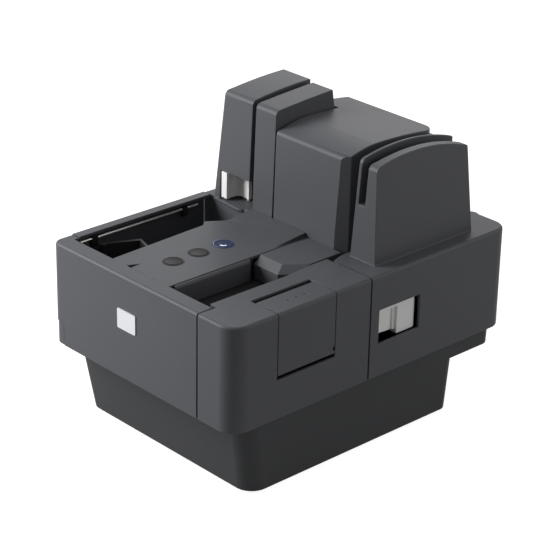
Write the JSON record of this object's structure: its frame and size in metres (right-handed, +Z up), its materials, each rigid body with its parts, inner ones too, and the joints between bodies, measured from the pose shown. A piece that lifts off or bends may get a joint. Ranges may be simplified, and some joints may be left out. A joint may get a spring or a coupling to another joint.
{
  "type": "cheque scanner",
  "caption": "Desktop cheque scanner: tapered housing, feed hopper, eject pocket, swinging path covers with towers, hinged cartridge cover, card slot and push buttons.",
  "frame": {"origin": "bottom centre of the bounding box, on the surface that the feet stand on", "axes": "+Z up; -Y is the front face with the badge; +X is the side with the cartridge cover"},
  "size_m": [0.194, 0.2721, 0.2297],
  "materials": {
    "cover_plastic": "fine-grained dark grey plastic",
    "housing_plastic": "fine-grained darker grey plastic",
    "inner_plastic": "black plastic",
    "frame_metal": "grey sheet",
    "foot_rubber": "black",
    "roller_rubber": "dark grey",
    "pinch_plastic": "pale",
    "steel": "plain",
    "motor_metal": "plain",
    "gear_plastic": "natural",
    "belt_rubber": "black",
    "white_plastic": "satin white",
    "button_plastic": "dark, one with a blue light",
    "badge_silver": "plain silver",
    "board": "green laminate",
    "sensor_plastic": "black with a clear strip",
    "head_metal": "plain",
    "port_plastic": "black"
  },
  "bodies": {
    "base": {"badge_plate": "badge_silver", "base_deck": "frame_metal", "base_housing": "housing_plastic", "button_rings": "inner_plastic", "centre_image_sensor": "sensor_plastic", "centre_panel": "cover_plastic", "centre_strip_cover": "cover_plastic", "centre_tower_cover": "cover_plastic", "cover_screws": "steel", "dc_inlet": "port_plastic", "drive_motor": "motor_metal", "feed_bracket": "inner_plastic", "feed_motor": "motor_metal", "front_cover": "cover_plastic", "hinge_pins": "steel", "hopper_tray": "inner_plastic", "ink_cartridge": "inner_plastic", "left_side_cover": "cover_plastic", "magnetic_head": "head_metal", "main_board": "board", "main_frame": "frame_metal", "path_floor": "inner_plastic", "pocket_rod": "steel", "pocket_tray": "inner_plastic", "rear_cover": "cover_plastic", "right_front_cover": "cover_plastic", "rod_clips": "inner_plastic", "rubber_feet": "foot_rubber", "separator_block": "cover_plastic", "switch_board": "board", "timing_belts": "belt_rubber", "turn_guide_inner": "inner_plastic", "turn_guide_outer": "inner_plastic", "usb_port": "port_plastic"},
    "right_unit": {"right_unit_cover": "cover_plastic", "right_unit_frame": "inner_plastic", "right_image_sensor": "sensor_plastic", "card_reader_head": "inner_plastic"},
    "left_unit": {"left_unit_cover": "cover_plastic", "left_unit_frame": "inner_plastic"},
    "right_lever": {"right_release_lever": "white_plastic"},
    "left_lever": {"left_release_lever": "white_plastic"},
    "cartridge_door": {"cartridge_cover": "cover_plastic"},
    "stacker": {"stacker_arm": "inner_plastic"},
    "pusher": {"hopper_plate": "inner_plastic"},
    "button_one": {"button_1": "button_plastic"},
    "button_two": {"button_2": "button_plastic"},
    "button_three": {"button_3": "button_plastic"},
    "motor_drive": {"motor_pulley": "gear_plastic"},
    "drive_one": {"drive_roller_1": "roller_rubber"},
    "drive_two": {"drive_roller_2": "roller_rubber"},
    "drive_three": {"drive_roller_3": "roller_rubber"},
    "feed": {"feed_roller": "roller_rubber", "feed_gear": "gear_plastic"},
    "pinion": {"feed_pinion": "gear_plastic"},
    "pick": {"pick_roller": "roller_rubber"},
    "retard": {"retard_roller": "roller_rubber"},
    "right_pinch": {"right_pinch_roller": "pinch_plastic"},
    "left_pinch": {"left_pinch_roller": "pinch_plastic"}
  },
  "joints": [
    {"name": "right_unit_swing", "type": "hinge", "parent": "base", "child": "right_unit", "pos_m": [0.064, 0.129, 0.1], "axis": [0, 0, 1], "range_deg": [0, 30]},
    {"name": "left_unit_swing", "type": "hinge", "parent": "base", "child": "left_unit", "pos_m": [-0.064, 0.129, 0.1], "axis": [0, 0, -1], "range_deg": [0, 30]},
    {"name": "right_lever_turn", "type": "hinge", "parent": "right_unit", "child": "right_lever", "pos_m": [0.0876, 0.0369, 0.1], "axis": [0, 0, -1], "range_deg": [0, 10], "stiffness_Nm_per_rad": 0.1},
    {"name": "left_lever_turn", "type": "hinge", "parent": "left_unit", "child": "left_lever", "pos_m": [-0.0618, 0.0215, 0.15], "axis": [0, 0, 1], "range_deg": [0, 10], "stiffness_Nm_per_rad": 0.1},
    {"name": "cartridge_door_tilt", "type": "hinge", "parent": "base", "child": "cartridge_door", "pos_m": [0.0958, -0.0682, 0.095], "axis": [0, 1, 0], "range_deg": [0, 85]},
    {"name": "stacker_turn", "type": "hinge", "parent": "base", "child": "stacker", "pos_m": [-0.0843, -0.0992, 0.12], "axis": [0, 0, 1], "range_deg": [0, 25], "stiffness_Nm_per_rad": 0.01},
    {"name": "pusher_slide", "type": "slide", "parent": "base", "child": "pusher", "axis": [1, 0, 0], "range_m": [0, 0.02]},
    {"name": "button_one_press", "type": "slide", "parent": "base", "child": "button_one", "axis": [0, 0, -1], "range_m": [0, 0.001], "stiffness_N_per_m": 400},
    {"name": "button_two_press", "type": "slide", "parent": "base", "child": "button_two", "axis": [0, 0, -1], "range_m": [0, 0.001], "stiffness_N_per_m": 400},
    {"name": "button_three_press", "type": "slide", "parent": "base", "child": "button_three", "axis": [0, 0, -1], "range_m": [0, 0.001], "stiffness_N_per_m": 400},
    {"name": "drive_one_spin", "type": "hinge", "parent": "base", "child": "drive_one", "pos_m": [0.04485, 0.03, 0.12], "axis": [0, 0, 1], "continuous": true},
    {"name": "drive_two_spin", "type": "hinge", "parent": "base", "child": "drive_two", "pos_m": [0.0048, 0.09, 0.12], "axis": [0, 0, 1], "continuous": true},
    {"name": "drive_three_spin", "type": "hinge", "parent": "base", "child": "drive_three", "pos_m": [-0.03525, 0.03, 0.12], "axis": [0, 0, 1], "continuous": true},
    {"name": "motor_drive_spin", "type": "hinge", "parent": "base", "child": "motor_drive", "pos_m": [0.0048, 0.012, 0.109], "axis": [0, 0, 1], "continuous": true},
    {"name": "feed_spin", "type": "hinge", "parent": "base", "child": "feed", "pos_m": [0.0603, -0.0205, 0.12], "axis": [0, 0, 1], "continuous": true},
    {"name": "pinion_spin", "type": "hinge", "parent": "base", "child": "pinion", "pos_m": [0.07406, -0.03014, 0.1], "axis": [0, 0, 1], "continuous": true},
    {"name": "pick_spin", "type": "hinge", "parent": "base", "child": "pick", "pos_m": [0.0616, -0.06, 0.12], "axis": [0, 0, 1], "continuous": true},
    {"name": "retard_spin", "type": "hinge", "parent": "base", "child": "retard", "pos_m": [0.044, -0.0205, 0.12], "axis": [0, 0, 1], "continuous": true},
    {"name": "right_pinch_spin", "type": "hinge", "parent": "right_unit", "child": "right_pinch", "pos_m": [0.06215, 0.03, 0.132], "axis": [0, 0, 1], "continuous": true},
    {"name": "left_pinch_spin", "type": "hinge", "parent": "left_unit", "child": "left_pinch", "pos_m": [-0.05255, 0.03, 0.132], "axis": [0, 0, 1], "continuous": true}
  ],
  "couplings": [
    {"joint": "drive_two_spin", "follows": "drive_one_spin", "ratio": 1},
    {"joint": "drive_three_spin", "follows": "drive_one_spin", "ratio": 1},
    {"joint": "motor_drive_spin", "follows": "drive_one_spin", "ratio": 1},
    {"joint": "pinion_spin", "follows": "feed_spin", "ratio": -2.5},
    {"joint": "pick_spin", "follows": "feed_spin", "ratio": 1}
  ]
}
